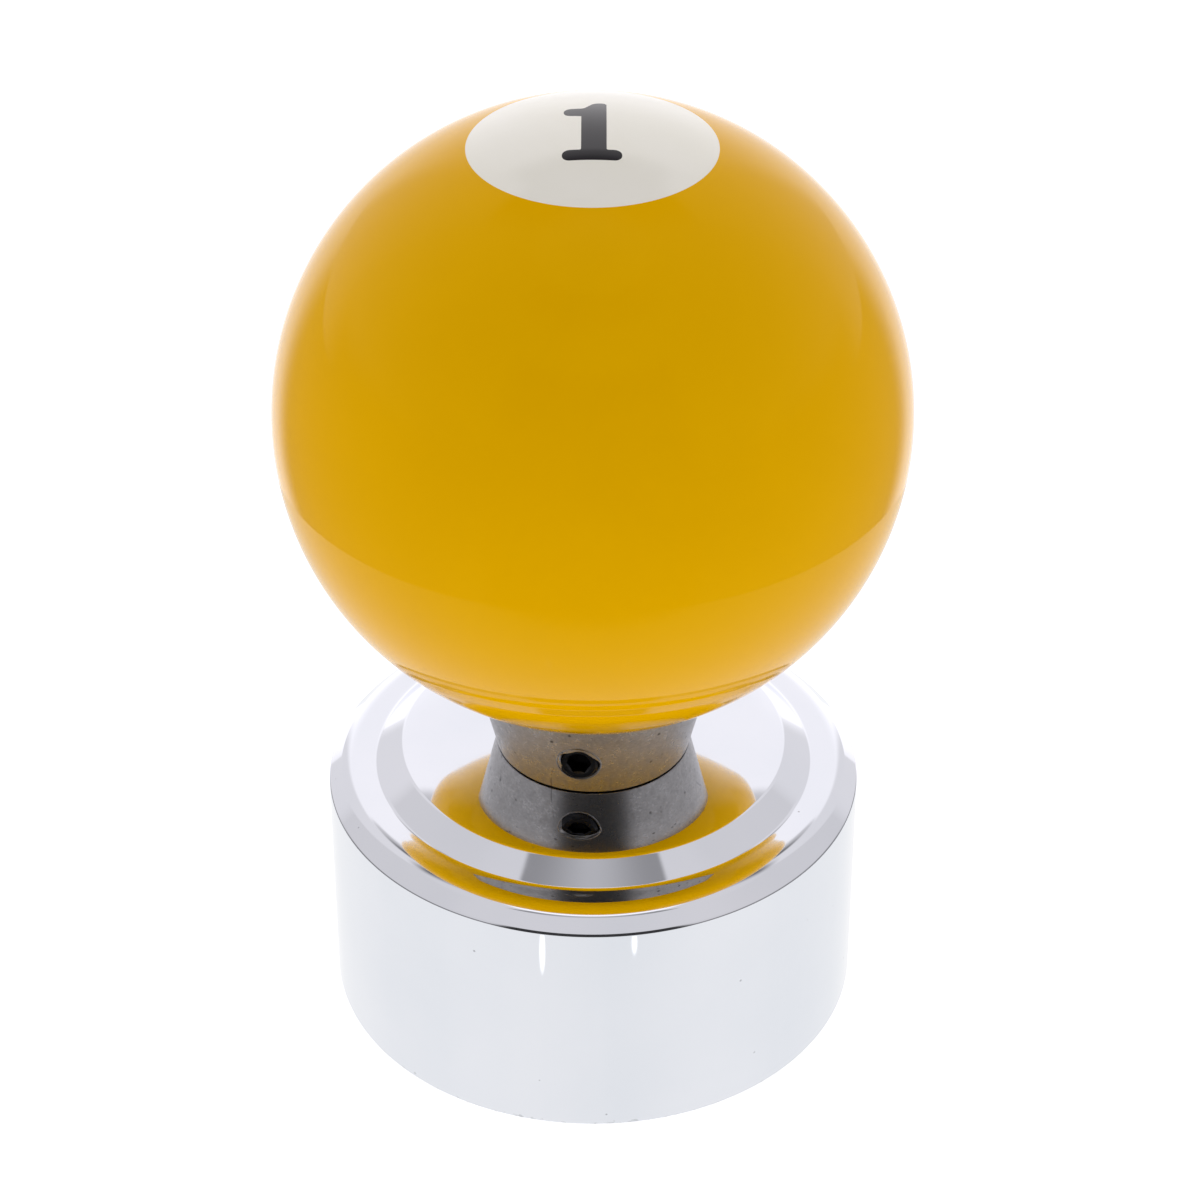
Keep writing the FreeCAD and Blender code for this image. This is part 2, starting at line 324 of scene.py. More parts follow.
def thread(skin, form, start, end, segments, inside=False):
    """A right-handed thread from one ring (r, z) up to another, cut back by 45° cones.

    Its rows follow the helix. Past the ends they gather on the end rings, so the
    strips join a lathe's rings there.
    """
    pitch = form["pitch"]
    stops = [(0, "crest"), (0.125, "crest"), (0.5, "root"), (0.625, "root")]
    angles = np.arange(segments + 1) * 2 * math.pi / segments
    base = (math.floor(start[1] / pitch) - 2) * pitch
    rows = []
    for turn in range(math.ceil((end[1] - start[1]) / pitch) + 4):
        for share, level in stops:
            z = base + (turn + share + angles / (2 * math.pi)) * pitch
            r = np.full(segments + 1, form[level])
            low = start[0] + (z - start[1]) * (-1 if inside else 1)
            high = end[0] + (end[1] - z) * (-1 if inside else 1)
            limit = np.maximum(low, high) if inside else np.minimum(low, high)
            r = np.maximum(r, limit) if inside else np.minimum(r, limit)
            r = np.where(z <= start[1], start[0], np.where(z >= end[1], end[0], r))
            z = np.clip(z, start[1], end[1])
            rows.append((r, z))
    for (r_a, z_a), (r_b, z_b) in zip(rows, rows[1:]):
        row_a = ring(r_a, z_a, angles)
        row_b = ring(r_b, z_b, angles)
        across = row_b - row_a
        flows = []
        for r in (r_a, r_b):
            along = np.stack([-r * np.sin(angles), r * np.cos(angles),
                              np.full(segments + 1, pitch / (2 * math.pi))], axis=1)
            normal = np.cross(along, across)
            size = np.linalg.norm(normal, axis=1, keepdims=True)
            flows.append(np.where(size > 1e-12, normal / np.maximum(size, 1e-12), 0))
        skin.strip(row_a, row_b, *flows, closed=False)


def hexagon_radius(across_flats, angles):
    """How far out a hexagon's side is at each angle, with corners at 0, 60, ..."""
    turn = np.mod(angles, math.pi / 3) - math.pi / 6
    return across_flats / 2 / np.cos(turn)


# ---- the adapter ----

def make_cap():
    """The polished cup: plateau, bevel, cove, shoulder, wall and a hollow inside."""
    low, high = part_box("adapter_cap")
    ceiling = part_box("flat_washer")[1].z
    bore_edge = BORE_THREAD["crest"] + 0.25 * MM
    skin = Skin()
    bevel_slope = PLATEAU_ARCS[-1][1]
    chamfer_slope = LEDGE_ARCS[-1][1]
    plateau, brow = smooth_arcs((PLATEAU_FLAT_R, high.z), 0, PLATEAU_ARCS, 1.0)
    foot = down_slope(brow, BEVEL_RUN, bevel_slope)
    ledge, crest = smooth_arcs(foot, bevel_slope, LEDGE_ARCS, 1.0)
    edge = down_slope(crest, CHAMFER_RUN, chamfer_slope)
    shoulder, rim = smooth_arcs(edge, chamfer_slope, SHOULDER_ARCS, 4.0)
    inner = rim[0] - CAP_WALL
    inside = outline([
        (rim[0] - CAP_RIM_BREAK, low.z, 0),
        (inner, low.z, 0.4 * MM),
        (inner, ceiling, CAP_INNER_FILLET),
        (bore_edge, ceiling, 0),
    ])
    lathe(skin, [
        straight((bore_edge, high.z), (PLATEAU_FLAT_R, high.z)),
        *plateau,
        straight(brow, foot),
        *ledge,
        straight(crest, edge),
        *shoulder,
        straight(rim, (rim[0], CAP_RIM_BREAK)),
        bend((rim[0] - CAP_RIM_BREAK, CAP_RIM_BREAK), CAP_RIM_BREAK, 0, -90),
        *inside,
    ], FINE)
    thread(skin, BORE_THREAD, (bore_edge, ceiling), (bore_edge, high.z), FINE, inside=True)
    cap = skin.piece("adapter_cap_shell")
    set_normals(cap)
    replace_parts(cap, "adapter_cap")
    bosses = [make_boss(i, low.z + BOSS_RECESS, ceiling) for i in range(BOSS_COUNT)]
    return [cap, *bosses]


def make_boss(index, bottom, ceiling):
    """A boss under the plate, with a tapped blind hole and a flared foot."""
    entry = (BOSS_THREAD["crest"] + 0.15 * MM, 0)
    end = (BOSS_THREAD["root"] - 0.05 * MM, BOSS_HOLE_DEPTH)
    height = ceiling - bottom + 0.2 * MM
    slope = math.tan(math.radians(DRILL_SLOPE))
    skin = Skin()
    lathe(skin, outline([
        (*entry, 0),
        (BOSS_R, 0, 0.35 * MM),
        (BOSS_R, height, BOSS_FLARE),
        (BOSS_R + BOSS_FLARE, height, 0),
        (0, height, 0),
    ]), COARSE)
    thread(skin, BOSS_THREAD, entry, end, COARSE, inside=True)
    lathe(skin, [straight(end, (0, end[1] + end[0] * slope))], COARSE)
    turn = math.radians(90 + 360 / BOSS_COUNT * index)
    place = Matrix.Translation(
        (BOSS_PITCH_R * math.cos(turn), BOSS_PITCH_R * math.sin(turn), bottom))
    boss = skin.piece(f"cap_boss_{index + 1}", place)
    set_normals(boss)
    return boss


def make_stud():
    """The threaded stud, with its thread cut back at both ends."""
    low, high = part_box("threaded_stud")
    end_r = STUD_THREAD["root"] - 0.15 * MM
    skin = Skin()
    lathe(skin, [straight((0, low.z), (end_r, low.z))], COARSE)
    thread(skin, STUD_THREAD, (end_r, low.z), (end_r, high.z), COARSE)
    lathe(skin, [straight((end_r, high.z), (0, high.z))], COARSE)
    stud = skin.piece("stud_thread")
    set_normals(stud)
    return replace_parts(stud, "threaded_stud")


def make_nut():
    """The jam nut: chamfered hexagon with a threaded bore."""
    low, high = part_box("jam_nut")
    flats = high.y - low.y
    face_r = flats / 2 * NUT_FACE_SHARE
    bore_edge = BORE_THREAD["crest"] + 0.2 * MM
    angles = turns(COARSE)
    hexagon = hexagon_radius(flats, angles)
    drop = (hexagon - face_r) * math.tan(math.radians(NUT_CHAMFER))
    turn = math.radians(90 - NUT_CHAMFER)
    skin = Skin()
    for z, side in ((low.z, -1), (high.z, 1)):
        level = ring(0, side, angles) + 0 * ring(1, 0, angles)
        cone = ring(math.cos(turn), side * math.sin(turn), angles)
        edge = ring(hexagon, z - side * drop, angles)
        skin.strip(ring(bore_edge, z, angles), ring(face_r, z, angles), level, level)
        skin.strip(ring(face_r, z, angles), edge, cone, cone)
    skin.strip(ring(hexagon, low.z + drop, angles), ring(hexagon, high.z - drop, angles), None, None)
    thread(skin, BORE_THREAD, (bore_edge, low.z), (bore_edge, high.z), COARSE, inside=True)
    nut = skin.piece("nut_hexagon")
    set_normals(nut)
    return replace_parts(nut, "jam_nut")


def make_flat_washer():
    """A punched washer: rolled edge on one face, sharper on the other."""
    low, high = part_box("flat_washer")
    middle = (low.z + high.z) / 2
    skin = Skin()
    lathe(skin, outline([
        (WASHER_BORE_R, middle, 0),
        (WASHER_BORE_R, low.z, 0.3 * MM),
        (high.x, low.z, 0.55 * MM),
        (high.x, high.z, 0.15 * MM),
        (WASHER_BORE_R, high.z, 0.1 * MM),
        (WASHER_BORE_R, middle, 0),
    ]), MEDIUM)
    washer = skin.piece("flat_washer_punched")
    set_normals(washer)
    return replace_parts(washer, "flat_washer")


def make_lock_washer():
    """A split spring washer: a rounded bar wound almost once round, cut on the slant."""
    low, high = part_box("lock_washer")
    lean = math.tan(math.radians(LOCK_WASHER_LEAN))
    middle = (low.z + high.z) / 2
    section = outline([
        (WASHER_BORE_R, middle, 0),
        (WASHER_BORE_R, low.z, 0.3 * MM),
        (high.x, low.z, 0.45 * MM),
        (high.x, high.z, 0.45 * MM),
        (WASHER_BORE_R, high.z, 0.3 * MM),
        (WASHER_BORE_R, middle, 0),
    ])
    share = np.linspace(0, 1, MEDIUM + 1)
    skin = Skin()
    first_end = []
    last_end = []
    for stretch in section:
        rows = []
        for r, z, nr, nz in stretch:
            shift = -(z - middle) * lean
            start = math.asin((shift + LOCK_WASHER_GAP / 2) / r)
            end = 2 * math.pi + math.asin((shift - LOCK_WASHER_GAP / 2) / r)
            angles = start + (end - start) * share
            rows.append((ring(r, z, angles), ring(nr, nz, angles)))
        for (row_a, flow_a), (row_b, flow_b) in zip(rows, rows[1:]):
            skin.strip(row_a, row_b, flow_a, flow_b, closed=False)
        first_end.extend(row[0] for row, flow in rows[:-1])
        last_end.extend(row[-1] for row, flow in rows[:-1])
    skin.sheet(first_end, (0, 0, 0))
    skin.sheet(last_end, (0, 0, 0))
    washer = skin.piece("lock_washer_split")
    set_normals(washer)
    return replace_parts(washer, "lock_washer")


# ---- the collar and its set screw ----

def screw_frame():
    """Local Z points outward along the set screw, from the knob's axis at its height."""
    low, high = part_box("set_screw")
    azimuth = math.radians(SCREW_AZIMUTH)
    outward = Vector((math.sin(azimuth), -math.cos(azimuth), 0))
    turn = outward.to_track_quat("Z", "Y").to_matrix().to_4x4()
    return Matrix.Translation((0, 0, (low.z + high.z) / 2)) @ turn


def collar_radius(z):
    """The cone of the collar between its bottom and the ball."""
    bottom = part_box("ball_insert")[0].z
    top = BALL_Z - math.sqrt(BALL_R ** 2 - COLLAR_TOP_R ** 2)
    return COLLAR_BOTTOM_R + (COLLAR_TOP_R - COLLAR_BOTTOM_R) * (z - bottom) / (top - bottom)


def make_insert():
    """Flared collar and grooved spigot, with a threaded blind bore and screw hole."""
    low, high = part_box("ball_insert")
    bore_edge = BORE_THREAD["crest"] + 0.2 * MM
    bore_end = (BORE_THREAD["root"] - 0.05 * MM, BORE_TOP_Z)
    neck_angle = math.degrees(math.asin(SPIGOT_R / BALL_R)) - 90
    seat_angle = math.degrees(math.asin(COLLAR_TOP_R / BALL_R)) - 90
    seat = bend((0, BALL_Z), BALL_R, neck_angle, seat_angle, 1.0)
    top_edge = seat[-1][:2]
    spigot = [(0, high.z, 0), (SPIGOT_R, high.z, 0.3 * MM)]
    for groove in range(SPIGOT_GROOVES):
        z = high.z - SPIGOT_GROOVE_PITCH * (groove + 1)
        inner = SPIGOT_R - SPIGOT_GROOVE_DEPTH
        spigot += [
            (SPIGOT_R, z + SPIGOT_GROOVE_H, 0.05 * MM),
            (inner, z + SPIGOT_GROOVE_H, 0.1 * MM),
            (inner, z, 0.1 * MM),
            (SPIGOT_R, z, 0.05 * MM),
        ]
    spigot.append((*seat[0][:2], 0))
    skin = Skin()
    lathe(skin, [
        *outline(spigot),
        seat,
        *outline([
            (*top_edge, 0),
            (COLLAR_BOTTOM_R, low.z, COLLAR_EDGE),
            (bore_edge, low.z, 0),
        ]),
    ], MEDIUM)
    thread(skin, BORE_THREAD, (bore_edge, low.z), bore_end, MEDIUM, inside=True)
    lathe(skin, [straight(bore_end, (0, BORE_DRILL_Z))], MEDIUM)
    insert = skin.piece("collar_insert")
    cutter = Skin()
    start = (SCREW_BORE_THREAD["root"], SCREW_HOLE_FROM)
    end = (SCREW_BORE_THREAD["crest"] + 0.05 * MM, SCREW_HOLE_TO)
    lathe(cutter, [straight((0, start[1]), start)], COARSE)
    thread(cutter, SCREW_BORE_THREAD, start, end, COARSE)
    lathe(cutter, [straight(end, (0, end[1]))], COARSE)
    combine(insert, cutter.piece("cutter", screw_frame()), "DIFFERENCE")
    set_normals(insert)
    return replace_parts(insert, "ball_insert")


def make_hole_lip():
    """The thin bright lip that tapping raised round the screw hole, with its burrs."""
    place = screw_frame()
    draw = random.Random(4)
    hole_r = SCREW_BORE_THREAD["crest"]
    angles = turns(COARSE)
    swell = np.array([draw.uniform(0.8, 1.2) for i in range(COARSE)])
    centres = []
    for angle in angles:
        x = hole_r * math.cos(angle)
        y = hole_r * math.sin(angle)
        # Step along the screw's axis until the point lies on the collar's cone.
        out = 10 * MM
        for step in range(4):
            world = place @ Vector((x, y, out))
            out += collar_radius(world.z) - math.hypot(world.x, world.y)
        centres.append((x, y, out))
    centres = np.array(centres)
    outward = ring(1, 0, angles)
    rows = []
    for turn in np.arange(HOLE_LIP_SIDES + 1) * 2 * math.pi / HOLE_LIP_SIDES:
        offset = outward * math.cos(turn) + np.array((0, 0, 1)) * math.sin(turn)
        rows.append((centres + offset * (HOLE_LIP_R * swell)[:, None], offset))
    skin = Skin()
    for (row_a, flow_a), (row_b, flow_b) in zip(rows, rows[1:]):
        skin.strip(row_a, row_b, flow_a, flow_b)
    lip = skin.piece("screw_hole_lip", place)
    set_normals(lip)
    return lip


def along_screw(node):
    """The nearest and farthest distance of a node's points along the set screw."""
    inverse = screw_frame().inverted()
    depths = [(inverse @ v.co).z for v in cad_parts[node].data.vertices]
    return min(depths), max(depths)


def make_screw():
    """Socket set screw with a threaded barrel and a chamfered hexagon socket."""
    near, far = along_screw("set_screw")
    end_r = SCREW_THREAD["root"] - 0.05 * MM
    angles = turns(COARSE)
    hexagon = hexagon_radius(SCREW_SOCKET_AF, angles)
    mouth = SCREW_SOCKET_AF / math.sqrt(3) + 0.03 * MM
    slope = mouth - hexagon
    floor = far - SCREW_SOCKET_DEPTH
    level = ring(0, 1, angles) + 0 * ring(1, 0, angles)
    skin = Skin()
    lathe(skin, [straight((0, near), (end_r, near))], COARSE)
    thread(skin, SCREW_THREAD, (end_r, near), (end_r, far), COARSE)
    skin.strip(ring(end_r, far, angles), ring(mouth, far, angles), level, level)
    skin.strip(ring(mouth, far, angles), ring(hexagon, far - slope, angles), None, None)
    skin.strip(ring(hexagon, far - slope, angles), ring(hexagon, floor, angles), None, None)
    drill = ring(0, floor - SCREW_DRILL_DEPTH, angles)
    skin.strip(ring(hexagon, floor, angles), drill, None, None)
    screw = skin.piece("set_screw_socket", screw_frame())
    set_normals(screw)
    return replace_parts(screw, "set_screw")


def make_screw_tip():
    """The soft tip, a little domed where it bears on the thread."""
    near, far = along_screw("set_screw_tip")
    tip_r = 1.2 * MM
    skin = Skin()
    lathe(skin, outline([
        (0, near, 0),
        (0.7 * MM, near, 0.2 * MM),
        (tip_r, near + 0.15 * MM, 0.1 * MM),
        (tip_r, far, 0.03 * MM),
        (0, far, 0),
    ]), COARSE)
    tip = skin.piece("set_screw_soft_tip", screw_frame())
    set_normals(tip)
    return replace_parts(tip, "set_screw_tip")


# ---- the ball and its number ----

def make_ball():
    """The coloured ball with the seats of both plugs and of the spigot."""
    disc_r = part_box("number_disc")[1].x
    disc_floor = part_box("number_disc")[0].z
    ring_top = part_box("lower_number_ring")[1].z
    spigot_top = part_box("ball_insert")[1].z
    rim_angle = math.degrees(math.acos(disc_r / BALL_R))
    shell = bend((0, BALL_Z), BALL_R, rim_angle, -rim_angle, 1.5)
    skin = Skin()
    lathe(skin, [
        straight((0, disc_floor), (disc_r, disc_floor)),
        straight((disc_r, disc_floor), shell[0][:2]),
        shell,
        straight(shell[-1][:2], (disc_r, ring_top)),
        straight((disc_r, ring_top), (SPIGOT_R, ring_top)),
        straight((SPIGOT_R, ring_top), (SPIGOT_R, spigot_top)),
        straight((SPIGOT_R, spigot_top), (0, spigot_top)),
    ], FINE)
    ball = skin.piece("ball_shell")
    set_normals(ball)
    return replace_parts(ball, "ball_body")


def disc_plug(name, floor):
    """The top plug up to the ball's surface, from a floor height."""
    disc_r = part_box("number_disc")[1].x
    rim_angle = math.degrees(math.acos(disc_r / BALL_R))
    top = bend((0, BALL_Z), BALL_R, rim_angle, 90, 0.8)
    skin = Skin()
    lathe(skin, [
        straight((0, floor), (disc_r, floor)),
        straight((disc_r, floor), top[0][:2]),
        top,
    ], FINE)
    return skin.piece(name)


def numeral_prism(floor, top):
    """A prism on the figure's rounded outline."""
    corners = [(x * MM, y * MM, radius * MM) for x, y, radius in NUMERAL_CORNERS]
    middle = ((corners[0][0] + corners[-1][0]) / 2, (corners[0][1] + corners[-1][1]) / 2, 0)
    walls = outline([middle, *corners, middle], 9.0)
    foot = []
    skin = Skin()
    for stretch in walls:
        base = np.array([(x, y, floor) for x, y, nx, ny in stretch])
        flow = np.array([(nx, ny, 0) for x, y, nx, ny in stretch])
        skin.strip(base, base + (0, 0, top - floor), flow, flow, closed=False)
        foot.extend(base[:-1])
    foot = np.array(foot)
    skin.sheet(foot, (0, 0, -1))
    skin.sheet(foot + (0, 0, top - floor), (0, 0, 1))
    return skin.piece("numeral_prism")


def make_number():
    """The white disc and the black figure set into it, flush with the ball."""
    figure_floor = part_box("numeral_one")[0].z
    disc = disc_plug("number_disc_plug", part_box("number_disc")[0].z)
    combine(disc, numeral_prism(figure_floor, cad_high.z + MM), "DIFFERENCE")
    figure = disc_plug("numeral_figure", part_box("number_disc")[0].z)
    combine(figure, numeral_prism(figure_floor, cad_high.z + MM), "INTERSECT")
    set_normals(disc)
    set_normals(figure)
    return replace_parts(disc, "number_disc"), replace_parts(figure, "numeral_one")


def make_lower_ring():
    """What the spigot leaves of the plug at the bottom pole."""
    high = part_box("lower_number_ring")[1]
    rim = high.x - RING_SLACK
    neck = SPIGOT_R + RING_SLACK
    top = high.z - RING_SLACK
    radius = BALL_R - RING_SLACK
    face = bend((0, BALL_Z), radius, -math.degrees(math.acos(rim / radius)),
                -math.degrees(math.acos(neck / radius)), 1.0)
    skin = Skin()
    lathe(skin, [
        face,
        straight(face[-1][:2], (neck, top)),
        straight((neck, top), (rim, top)),
        straight((rim, top), face[0][:2]),
    ], FINE)
    lower = skin.piece("lower_plug_ring")
    set_normals(lower)
    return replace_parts(lower, "lower_number_ring")


# ---- materials ----

class Nodes:
    """Short names for the shader nodes that the materials use."""

    def __init__(self, tree):
        self.tree = tree
        self.tree.nodes.clear()

    def new(self, kind, **values):
        """A node of a kind, with its settings."""
        node = self.tree.nodes.new(kind)
        for name, value in values.items():
            setattr(node, name, value)
        return node

    def link(self, source, target):
        self.tree.links.new(source, target)

    def feed(self, node, index, value):
        """Link a socket to a node's input, or set the input to a number or colour."""
        if isinstance(value, bpy.types.NodeSocket):
            self.link(value, node.inputs[index])
        elif value is not None:
            node.inputs[index].default_value = value

    def place(self, scale=(1, 1, 1), origin=None, heading=0.0):
        """Object coordinates, stretched along each axis or taken about a turned origin."""
        source = self.new("ShaderNodeTexCoord")
        mapping = self.new("ShaderNodeMapping")
        if origin is not None:
            mapping.vector_type = "TEXTURE"
            mapping.inputs["Location"].default_value = origin
            mapping.inputs["Rotation"].default_value = (0, 0, heading)
        self.link(source.outputs["Object"], mapping.inputs["Vector"])
        mapping.inputs["Scale"].default_value = scale
        return mapping.outputs["Vector"]

    def along(self, axis, place=None):
        """One of the object coordinates, or of a place's."""
        split = self.new("ShaderNodeSeparateXYZ")
        self.link(place or self.place(), split.inputs[0])
        return split.outputs[axis]

    def noise(self, scale, detail=2.0, stretch=(1, 1, 1), distortion=0.0):
        node = self.new("ShaderNodeTexNoise")
        self.link(self.place(stretch), node.inputs["Vector"])
        node.inputs["Scale"].default_value = scale
        node.inputs["Detail"].default_value = detail
        node.inputs["Distortion"].default_value = distortion
        return node.outputs["Fac"]

    def cells(self, scale):
        """The distance from the middles of scattered cells."""
        node = self.new("ShaderNodeTexVoronoi")
        self.link(self.place(), node.inputs["Vector"])
        node.inputs["Scale"].default_value = scale
        return node.outputs["Distance"]

    def hairlines(self, scale, share):
        """Scarce, thin and curved lines: where a smooth noise crosses its middle."""
        crossing = self.math("ABSOLUTE", self.math("SUBTRACT", self.noise(scale, 0.0), 0.5))
        scarce = self.spread(self.noise(2.5 * scale, 1.0), 0.56, 0.6, 0, share)
        return self.math("MULTIPLY", self.spread(crossing, 0.0015, 0.006, 1, 0), scarce)

    def spread(self, value, low, high, to_low, to_high, smooth=False):
        """Map a range of a value to another range, and hold it there."""
        node = self.new("ShaderNodeMapRange", clamp=True)
        node.interpolation_type = "SMOOTHSTEP" if smooth else "LINEAR"
        for index, given in enumerate((value, low, high, to_low, to_high)):
            self.feed(node, index, given)
        return node.outputs["Result"]

    def math(self, operation, a, b=None):
        node = self.new("ShaderNodeMath", operation=operation)
        self.feed(node, 0, a)
        self.feed(node, 1, b)
        return node.outputs["Value"]

    def blend(self, share, a, b):
        """A colour between two colours."""
        node = self.new("ShaderNodeMix", data_type="RGBA")
        self.feed(node, "Factor", share)
        self.feed(node, 6, a if isinstance(a, bpy.types.NodeSocket) else (*a, 1))
        self.feed(node, 7, b if isinstance(b, bpy.types.NodeSocket) else (*b, 1))
        return node.outputs[2]

    def bump(self, height, distance):
        """A normal for a surface that rises by a distance in metres."""
        node = self.new("ShaderNodeBump")
        node.inputs["Strength"].default_value = 1.0
        node.inputs["Distance"].default_value = distance
        self.link(height, node.inputs["Height"])
        return node.outputs["Normal"]


def new_material(name):
    """A material with one shader, and its nodes."""
    material = bpy.data.materials.new(name)
    material.use_nodes = True
    nodes = Nodes(material.node_tree)
    shader = nodes.new("ShaderNodeBsdfPrincipled")
    output = nodes.new("ShaderNodeOutputMaterial")
    nodes.link(shader.outputs["BSDF"], output.inputs["Surface"])
    return material, nodes, shader


def shade(colour, share):
    """A darker colour."""
    return tuple(c * share for c in colour)


def resin(name, colour, cloud, tint=(1, 1, 1), ior=1.5):
    """Cast and polished phenolic resin: faint clouds, and hairlines in the polish.

    The tint colours its reflection, all but the white one at the edges.
    """
    material, nodes, shader = new_material(name)
    clouds = nodes.noise(55, 5, distortion=0.8)
    nodes.link(nodes.blend(nodes.spread(clouds, 0.35, 0.7, 0, 1), colour, cloud),
               shader.inputs["Base Color"])
    haze = nodes.noise(240, 6)
    nodes.link(nodes.spread(haze, 0.35, 0.75, 0.015, 0.05), shader.inputs["Roughness"])
    hairline = nodes.noise(900, 3, (1, 0.06, 0.9), 0.4)
    nodes.link(nodes.bump(hairline, 1.5e-7), shader.inputs["Normal"])
    shader.inputs["IOR"].default_value = ior
    shader.inputs["Specular Tint"].default_value = (*tint, 1)
    return material


def turned_metal(name, colour, dull, rough, grain, speck=0.5, depth=2e-6, round=0.02):
    """Satin turned metal: fine grain, dark specks and dark scratches.

    Grain is how fine its lines are, and round how little they run round the axis:
    near 0 they are rings, and at 1 they are dots. Speck is how strong the specks
    are, and depth how deep the grain is in metres.
    """
    material, nodes, shader = new_material(name)
    lines = nodes.noise(grain, 3, (round, round, 1))
    patches = nodes.noise(850, 5)
    specks = nodes.spread(nodes.cells(1000), 0.1, 0.24, 1, 0)
    scarce = nodes.spread(nodes.noise(500, 2), 0.5, 0.6, 0, speck)
    specks = nodes.math("MULTIPLY", specks, scarce)
    tone = nodes.math("ADD", nodes.spread(lines, 0.3, 0.7, 0, 0.65),
                      nodes.spread(patches, 0.3, 0.7, 0, 0.35))
    base = nodes.blend(tone, colour, dull)
    base = nodes.blend(nodes.hairlines(130, speck), base, shade(dull, 0.5))
    nodes.link(nodes.blend(specks, base, shade(dull, 0.25)), shader.inputs["Base Color"])
    nodes.link(nodes.spread(tone, 0.2, 0.8, *rough), shader.inputs["Roughness"])
    nodes.link(nodes.bump(lines, depth), shader.inputs["Normal"])
    shader.inputs["Metallic"].default_value = 1.0
    return material


def polished_metal(name, colour, dull):
    """Plated and buffed metal: near mirror, with faint haze, pits, painted reflection bands and a
    painted shade band at the foot.
    """
    material, nodes, shader = new_material(name)
    haze = nodes.noise(70, 4)
    lines = nodes.noise(500, 3, (1, 1, 0.05))
    # Painted reflection: faint upright bands in the colour stand in for mirrored softbox strips.
    reflection_bands = nodes.noise(75, 3, (1, 1, 0.04), 0.3)
    pits_and_foot_shade = nodes.spread(nodes.cells(420), 0.03, 0.07, 1, 0)
    scarce = nodes.spread(nodes.noise(160, 2), 0.56, 0.6, 0, 1)
    # Painted shade: a dark speckled band darkens the foot up to 1.6 mm from the rim.
    foot = nodes.spread(nodes.along(2), 0.0003, 0.0016, 0.52, 0)
    foot_shade = nodes.spread(nodes.math("ADD", nodes.noise(1300, 4), foot), 0.98, 1.18, 0, 0.6)
    # The pits and the painted shade at the foot darken the colour together.
    pits_and_foot_shade = nodes.math("MAXIMUM", nodes.math("MULTIPLY", pits_and_foot_shade, scarce), foot_shade)
    # The tone holds the haze and the painted reflection bands.
    tone = nodes.math("ADD", nodes.spread(haze, 0.35, 0.7, 0, 0.5),
                      nodes.spread(reflection_bands, 0.35, 0.65, 0, 0.5))
    base = nodes.blend(tone, colour, dull)
    nodes.link(nodes.blend(pits_and_foot_shade, base, shade(dull, 0.45)), shader.inputs["Base Color"])
    rough = nodes.spread(nodes.math("ADD", haze, lines), 0.7, 1.3, 0.02, 0.06)
    nodes.link(nodes.math("ADD", rough, nodes.math("MULTIPLY", pits_and_foot_shade, 0.3)),
               shader.inputs["Roughness"])
    nodes.link(nodes.bump(lines, 1e-7), shader.inputs["Normal"])
    shader.inputs["Metallic"].default_value = 1.0
    return material


def floor_material(name, seen):
    """The pale floor that is seen, or the table top that the metal mirrors, which glows with painted
    light.
    """
    material, nodes, shader = new_material(name)
    grain = nodes.noise(3, 3)
    shader.inputs["Roughness"].default_value = 0.5
    shader.inputs["Emission Color"].default_value = (1, 1, 1, 1)
    if seen:
        nodes.link(nodes.blend(grain, (0.86, 0.86, 0.87), (0.9, 0.9, 0.9)),
                   shader.inputs["Base Color"])
        shader.inputs["Emission Strength"].default_value = 0.6
    else:
        nodes.link(nodes.blend(grain, (0.01, 0.01, 0.01), (0.02, 0.02, 0.02)),
                   shader.inputs["Base Color"])
        # Painted light: the table top glows, dark at its front edge and bright behind it.
        glow = nodes.spread(
            nodes.along(1), -TABLE_R, TABLE_LIT_Y, *TABLE_PAINTED_GLOW, smooth=True)
        # Painted highlights: glowing spots stand in for the lamps' glints on the table top.
        for x, y, heading, length in PAINTED_LAMP_GLINTS:
            turned = nodes.place(origin=(x, y, 0), heading=heading)
            across = nodes.math("DIVIDE", nodes.along(0, turned), PAINTED_GLINT_W)
            ahead = nodes.math("DIVIDE", nodes.along(1, turned), length)
            reach = nodes.math("ADD", nodes.math("MULTIPLY", across, across),
                               nodes.math("MULTIPLY", ahead, ahead))
            glow = nodes.math("ADD", glow, nodes.spread(reach, 0.5, 1.4, PAINTED_GLINT_GLOW, 0.0))
        nodes.link(glow, shader.inputs["Emission Strength"])
    return material


def make_materials():
    return {
        "ball_resin": resin(
            "ball_resin", (0.735, 0.386, 0.0), (0.755, 0.399, 0.0),
            tint=(1.0, 0.9, 0.0), ior=1.25),
        "disc_resin": resin("disc_resin", (0.79, 0.77, 0.685), (0.82, 0.80, 0.73)),
        "numeral_resin": resin("numeral_resin", (0.004, 0.003, 0.005), (0.009, 0.007, 0.010)),
        "collar_metal": turned_metal(
            "collar_metal", (0.49, 0.475, 0.46), (0.34, 0.33, 0.32), (0.27, 0.36), 4800,
            speck=0.9, depth=2e-7, round=0.7),
        "black_oxide": turned_metal(
            "black_oxide", (0.05, 0.05, 0.052), (0.02, 0.02, 0.021), (0.3, 0.5), 2600,
            speck=0.3),
        "plated_steel": turned_metal(
            "plated_steel", (0.66, 0.67, 0.66), (0.52, 0.53, 0.52), (0.22, 0.38), 1800,
            speck=0.3),
        "spring_steel": turned_metal(
            "spring_steel", (0.20, 0.19, 0.18), (0.11, 0.10, 0.10), (0.35, 0.55), 1500,
            speck=0.5),
        "tip_brass": turned_metal(
            "tip_brass", (0.80, 0.58, 0.26), (0.62, 0.42, 0.18), (0.25, 0.4), 4000,
            speck=0.3),
        "polished_cap": polished_metal("polished_cap", (0.785, 0.80, 0.845), (0.735, 0.76, 0.81)),
    }


# ---- the studio ----

